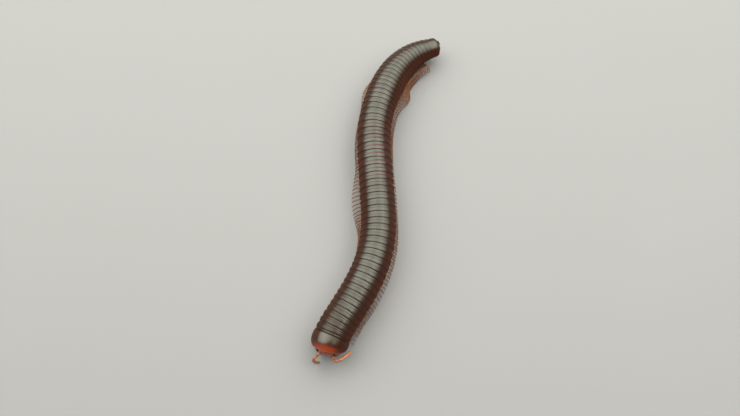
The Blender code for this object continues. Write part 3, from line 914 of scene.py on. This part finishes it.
def sculpted(name, balls, press, face_of, replaces=(), voxel=VOXEL, rounds=ROUNDS):
    """A hard part of the head: balls melted together, then pressed in along their normals."""
    clay = bmesh.new()
    for centre, half, turn in balls:
        ball(clay, centre, half, turn)
    points, normals, faces = melt(clay, voxel, rounds)
    placed, creases = [], []
    for point, normal in zip(points, normals):
        sunk, crease = press(point)
        placed.append(HEAD_PLACE @ (point - normal * sunk))
        creases.append(crease)
    marks = {"face": [face_of(point) for point in points], "crease": creases}
    piece_of(name, placed, faces, [HEAD_LACQUER], None, marks, "head", replaces)


def capsule_press(point):
    """How far pits and grooves sink a point of the capsule, and how deep in a crease it lies."""
    crease = 0.0
    sunk = 0.0
    for side in (1, -1):
        away = (point - Vector((side * SOCKET_AT.x, SOCKET_AT.y, SOCKET_AT.z))).length
        if away < 1.5:
            pit = ease((SOCKET_RADIUS + 0.1 - away) / 0.25)
            rim = math.exp(-(((away - SOCKET_RADIUS - 0.25) / 0.16) ** 2))
            sunk += 0.42 * pit - 0.09 * rim
            crease = max(crease, pit)
    if point.y < 2.0:
        seam = math.exp(-((point.x / 0.09) ** 2)) * ease((point.z + 2.2) / 1.0)
        furrow = math.exp(-(((point.z + 3.9 + 0.1 * point.x**2) / 0.14) ** 2))
        furrow *= ease((2.4 - abs(point.x)) / 0.8) * ease((1.4 - point.y) / 0.6)
        sunk += 0.07 * seam + 0.08 * furrow
        crease = max(crease, 0.6 * seam, 0.5 * furrow)
    for i in range(LIP_PITS):
        for side in (1, -1):
            at = Vector((side * (0.45 + 0.55 * i), 0.0, -4.45 + 0.06 * i * i))
            away = Vector((point.x - at.x, point.z - at.z)).length
            pit = math.exp(-((away / 0.13) ** 2)) if point.y < 0.4 else 0.0
            sunk += 0.08 * pit
            crease = max(crease, 0.8 * pit)
    notch = (point - NOTCH_AT).length
    bite = ease((0.75 - notch) / 0.4)
    sunk += 0.4 * bite
    crease = max(crease, 0.5 * bite)
    return sunk, min(1.0, crease)


def down_the_face(point):
    return ease((1.2 - point.z) / 5.5)


capsule = ((HEAD_CENTRE, HEAD_HALF, 0.0), (FACE_CENTRE, FACE_HALF, 0.0))
sculpted("head_capsule", capsule, capsule_press, down_the_face, ["head"], voxel=0.11, rounds=10)

# %% [markdown]
# ## Jaws and lower lip
# Behind the face the jaws swell on each side as smooth cheeks, and a flat plate with three seams
# closes the mouth from below. They are hard parts of their own, with a visible crease to the
# capsule, so each is its own form that sinks a little into the head.

# %% Cheeks and lower lip
SEAM_DEPTH = 0.09


def cheek_press(point):
    """The seam between the jaw's two pieces, a slanting line over the cheek."""
    seam = math.exp(-(((point.y - 1.75 + 0.35 * (point.z + 2.75)) / 0.12) ** 2))
    return SEAM_DEPTH * seam, seam


def lip_press(point):
    middle = math.exp(-((point.x / 0.1) ** 2)) * ease((2.2 - point.y) / 1.2)
    sides = math.exp(-(((abs(point.x) - 0.85 - 0.1 * point.y) / 0.11) ** 2))
    seam = max(middle, sides) if point.z < LOWER_LIP_CENTRE[2] else 0.0
    return SEAM_DEPTH * seam, seam


for side, name in SIDES:
    centre = (side * CHEEK_CENTRE[0], *CHEEK_CENTRE[1:])
    sculpted(f"jaw_{name}", [(centre, CHEEK_HALF, -12.0 * side)], cheek_press, lambda point: 0.45)
sculpted("lower_lip", [(LOWER_LIP_CENTRE, LOWER_LIP_HALF, 0.0)], lip_press, lambda point: 0.75)

# %% [markdown]
# ## The eyes
# A millipede's eye is a patch of some forty simple lenses, each a black glass bead, set in rows
# on a low swelling. The swelling is one flat ellipsoid, and the beads are small balls sunk in it.

# %% Finish: eye glass
def eye_glass():
    material, tree = finish_named("eye_glass", Coat_Weight=1.0, Coat_Roughness=0.04)
    cloud = grain(tree, 0.3)
    colour = blend_of(tree, cloud, (0.006, 0.005, 0.006), (0.022, 0.014, 0.012))
    wire(tree, Base_Color=colour, Roughness=spread(tree, cloud, 0.3, 0.7, 0.08, 0.18))
    relief(tree, (cloud, 0.004))
    return material


EYE_GLASS = eye_glass()

# %% Eyes of many lenses
EYE_SWELL = 0.28  # how far the patch stands out of the head
LENS_RADIUS = 0.105
LENS_ROWS = 6
LENS_STEP = 0.205


def eye_patch(side, name):
    """A swelling with rows of lenses on its outer face."""
    mesh = bmesh.new()
    ball(mesh, (0.0, 0.0, 0.0), (EYE_SWELL, EYE_HALF.y * 0.97, EYE_HALF.z * 0.97), 0.0, 32, 20)
    lenses = 0
    for row in range(LENS_ROWS):
        v = (row - (LENS_ROWS - 1) / 2) * LENS_STEP * 0.87
        for column in range(-5, 6):
            u = (column + 0.5 * (row % 2)) * LENS_STEP
            inside = 1.0 - (u / EYE_HALF.y) ** 2 - (v / EYE_HALF.z) ** 2
            if inside < 0.12:
                continue
            out = EYE_SWELL * math.sqrt(inside) - LENS_RADIUS * 0.3
            place = Matrix.Translation((side * out, u, v))
            bmesh.ops.create_icosphere(mesh, subdivisions=2, radius=LENS_RADIUS, matrix=place)
            lenses += 1
    print("lenses:", lenses)
    centre = Vector((side * EYE_CENTRE.x, EYE_CENTRE.y, EYE_CENTRE.z))
    turn = Matrix.Rotation(math.radians(EYE_TURN * side), 4, "Z")
    mesh.transform(HEAD_PLACE @ Matrix.Translation(centre) @ turn)
    points = [vertex.co.copy() for vertex in mesh.verts]
    faces = [tuple(vertex.index for vertex in face.verts) for face in mesh.faces]
    mesh.free()
    piece_of(f"lenses_{name}", points, faces, [EYE_GLASS], slot="eye", replaces=[f"eye_{name}"])


for side, name in SIDES:
    eye_patch(side, name)

# %% [markdown]
# ## The feelers
# Seven segments, club-shaped, each narrow at its root, on a pale bulb that turns in the socket.
# They tap about all the time on a walking animal: here the right one droops to the ground and the
# left one is bent back beside the shield. The last, short segment carries four tiny cones.

# %% The feelers
ANTENNA_LEFT = (
    (1.95, -1.1, -0.3), (3.1, -1.6, 0.9), (4.7, -0.7, 1.3), (6.0, 0.9, 0.4), (6.4, 1.9, -1.7),
)
ANTENNA_RIGHT = (
    (-1.95, -1.1, -0.3), (-2.75, -2.25, 0.3), (-3.05, -3.15, -0.8), (-2.5, -3.6, -2.4), (-1.6, -3.5, -4.3),
)
ARTICLES = (  # share of the feeler's length at the far end, half thickness
    (0.09, 0.36), (0.31, 0.4), (0.49, 0.41), (0.65, 0.42),
    (0.8, 0.43), (0.93, 0.42), (0.985, 0.26),
)
ARTICLE_ROWS = (  # share of an article's length, share of its half thickness
    (0.0, 0.52), (0.05, 0.6), (0.2, 0.78), (0.5, 0.93),
    (0.78, 1.04), (0.92, 1.0), (0.98, 0.8), (1.0, 0.55),
)
BULB_ROWS = ((0.0, 0.3), (0.3, 0.36), (0.6, 0.34), (0.85, 0.26), (1.0, 0.18))
CONES, CONE_LENGTH, CONE_HALF = 4, 0.11, 0.04


def turned_row(course, share, half, finish):
    centre, tangent = on_course(course, share)
    across = tangent.cross(Vector((0.0, 0.0, 1.0))).normalized()
    return (centre, across, across.cross(tangent), half, half, finish, share)


def feeler(side, name, knots):
    course = [HEAD_PLACE @ point for point in smooth_course(knots, steps=100)]
    bag = new_bag()
    rows = []
    start = 0.0
    for end, half in ARTICLES:
        for i, (share, swell) in enumerate(ARTICLE_ROWS):
            finish = 1 if i in (0, len(ARTICLE_ROWS) - 1) else 0
            rows.append(turned_row(course, start + (end - start) * share, half * swell, finish))
        start = end
    add_tube(bag, rows, sides=18, tone=0.2)
    socket = HEAD_PLACE @ Vector((side * SOCKET_AT.x, SOCKET_AT.y + 0.65, SOCKET_AT.z))
    bulb = [turned_row([socket, course[4]], share, half, 1) for share, half in BULB_ROWS]
    add_tube(bag, bulb, sides=18, tone=0.2)
    tip, across, over = rows[-1][:3]
    ahead = (course[-1] - course[-3]).normalized()
    for i in range(CONES):
        turn = 2.0 * math.pi * (i + 0.5) / CONES
        foot = tip + (across * math.cos(turn) + over * math.sin(turn)) * 0.08
        cone = []
        for share in (0.0, 0.5, 1.0):
            half = CONE_HALF * (1.1 - share)
            cone.append((foot + ahead * (CONE_LENGTH * share - 0.03), across, over, half, half, 1, 1.0))
        add_tube(bag, cone, sides=6, tone=0.0)
    piece_of_bag(f"feeler_{name}", bag, [FEELER, JOINT], slot="antenna", replaces=[f"antenna_{name}"])


feeler(1, "left", ANTENNA_LEFT)
feeler(-1, "right", ANTENNA_RIGHT)

# %% [markdown]
# ## The tail
# The body ends in a legless ring with a blunt hood over two swollen valves that close like a
# pair of doors, each with a raised lip along the slit. Ring and hood are melted from clay; the
# valves are separate hard plates.

# %% The telson
TELSON_LENGTH = 2.7
HOOD_CENTRE = (0.0, 1.9, 1.75)
HOOD_HALF = (1.5, 1.6, 0.65)
VALVE_HALF = (0.85, 1.05, 1.8)
NODE_GAP = 0.3


def tail_body(mesh):
    """Adds the last ring as a short closed barrel, narrowing to its end."""
    rows = ((-0.35, 0.93), (0.0, 0.95), (0.4, 0.965), (0.75, 0.93), (0.93, 0.84), (1.0, 0.7))
    radius = radius_at(TRUNK_END)
    points = []
    for share, girth in rows:
        for across, up, _ in SECTION[::2]:
            points.append((across * radius * girth, TELSON_LENGTH * share, up * radius * girth))
    corners = [mesh.verts.new(point) for point in points]
    for face in loft(len(rows), len(SECTION[::2])):
        mesh.faces.new([corners[i] for i in face])


def plate_marks(points, phases, arounds, arcs):
    """What the ring lacquer reads, for a plate of the tail."""
    alongs = [TRUNK_END + point.y for point in points]
    even = {"drawn": [-TELSON_LENGTH] * len(points), "tone": [0.5] * len(points)}
    return {"phase": phases, "around": arounds, "arc": arcs, "along": alongs, **even}


def telson():
    clay = bmesh.new()
    tail_body(clay)
    ball(clay, HOOD_CENTRE, HOOD_HALF)
    points, _, faces = melt(clay)
    place = frame_at(TRUNK_END)
    phases = [1.25 + 0.5 * ease(point.y / TELSON_LENGTH) for point in points]
    turns = [math.atan2(point.x, point.z) for point in points]
    arounds = [abs(turn) / math.pi for turn in turns]
    marks = plate_marks(points, phases, arounds, [turn * BODY_RADIUS for turn in turns])
    placed = [place @ point for point in points]
    piece_of("tail_ring", placed, faces, [RING_LACQUER], None, marks, "telson", ["telson"])


def valve(side, name):
    centre = Vector((side * (VALVE_HALF[0] + NODE_GAP / 2 - 0.06), TELSON_LENGTH - 0.25, -0.15))
    clay = bmesh.new()
    ball(clay, centre, VALVE_HALF)
    points, normals, faces = melt(clay, voxel=0.08, rounds=4)
    place = frame_at(TRUNK_END)
    placed = []
    for point, normal in zip(points, normals):
        lip = math.exp(-(((abs(point.x) - 0.42) / 0.13) ** 2)) * ease((point.y - centre.y) / 0.4)
        placed.append(place @ (point + normal * 0.07 * lip))
    count = len(points)
    marks = plate_marks(points, [1.4] * count, [0.3] * count, [point.x for point in points])
    stands_for = [f"anal_valve_{name}"]
    piece_of(f"valve_{name}", placed, faces, [RING_LACQUER], None, marks, "anal_valve", stands_for)


telson()
for side, name in SIDES:
    valve(side, name)

# %% [markdown]
# ## The stage
# The animal stands on a plain pale floor, a card with a faint cloudiness.

# %% Floor
FLOOR_SIZE = 6.0


def floor_finish():
    material, tree = finish_named("floor_card", Specular_IOR_Level=0.2)
    cloud = grain(tree, 30.0)
    colour = blend_of(tree, cloud, (0.198, 0.174, 0.187), (0.218, 0.192, 0.206))
    wire(tree, Base_Color=colour, Roughness=spread(tree, cloud, 0.3, 0.7, 0.7, 0.85))
    return material


def floor():
    half = FLOOR_SIZE / 2
    mesh = bpy.data.meshes.new("floor")
    corners = [(x * half, y * half, 0.0) for x, y in ((-1, -1), (1, -1), (1, 1), (-1, 1))]
    mesh.from_pydata(corners, [], [(0, 1, 2, 3)])
    mesh.materials.append(floor_finish())
    made = in_scene("floor", mesh)
    print("floor in metres:", FLOOR_SIZE)


floor()

# %% [markdown]
# ## The light
# Daylight between trees is a bright patch of sky overhead with an uneven edge, and the back of a
# millipede mirrors it as one broad band, which begins and ends where that edge says. One large
# soft panel would do for a straight body. Here five lie side by side, each with its own front
# edge and brightness, and a dim room fills the shade.

# %% Lights
SKY = (  # left end, right end, front end, radiance
    (-1.1, -0.5, -0.1, 4.2),
    (-0.5, -0.1, -0.17, 5.5),
    (-0.1, 0.12, -0.12, 5.3),
    (0.12, 0.35, -0.25, 6.0),
    (0.35, 0.85, -0.22, 3.5),
)
SKY_BACK, SKY_HEIGHT = 0.65, 0.42
SKY_COLOUR = (0.89, 1.0, 0.87)
ROOM_COLOUR, ROOM_STRENGTH = (0.9, 0.95, 0.85, 1.0), 0.14


def sky_panel(name, left, right, front, radiance):
    data = bpy.data.lights.new(name, "AREA")
    data.shape = "RECTANGLE"
    data.size, data.size_y = right - left, SKY_BACK - front
    data.energy = radiance * (right - left) * (SKY_BACK - front) * math.pi
    data.color = SKY_COLOUR
    made = in_scene(name, data)
    made.location = ((left + right) / 2, (SKY_BACK + front) / 2, SKY_HEIGHT)
    made.visible_camera = False
    print(name, "in watts:", round(data.energy, 2))


for number, row in enumerate(SKY):
    sky_panel(f"sky_{number}", *row)

world = bpy.data.worlds.new("room")
bpy.context.scene.world = world
world.use_nodes = True
room = world.node_tree.nodes["Background"]
room.inputs["Color"].default_value = ROOM_COLOUR
room.inputs["Strength"].default_value = ROOM_STRENGTH
bpy.context.scene.view_settings.view_transform = "Standard"

# %% [markdown]
# ## The camera
# The picture looks down on the animal from in front of it. Lens and distance give the body its
# length and taper in the picture, and the aim is a point beside the body's axis, so the framing
# follows the body.

# %% Camera
CAMERA_ELEVATION = 68.0
CAMERA_DISTANCE = 210.0
CAMERA_LENS = 34.05
AIM_ALONG, AIM_LEFT = 46.27, -2.46

aim = (frame_at(AIM_ALONG) @ Vector((AIM_LEFT, 0.0, 0.0)) + SHIFT) * MM
tilt = math.radians(CAMERA_ELEVATION)
back = Vector((0.0, -math.cos(tilt), math.sin(tilt)))
camera_data = bpy.data.cameras.new("camera")
camera_data.lens = CAMERA_LENS
camera_data.clip_start = 0.01
camera = in_scene("camera", camera_data)
camera.location = aim + back * (CAMERA_DISTANCE * MM)
camera.rotation_euler = back.to_track_quat("Z", "Y").to_euler()
bpy.context.scene.camera = camera
print("camera aims at mm:", [round(part / MM, 1) for part in aim])
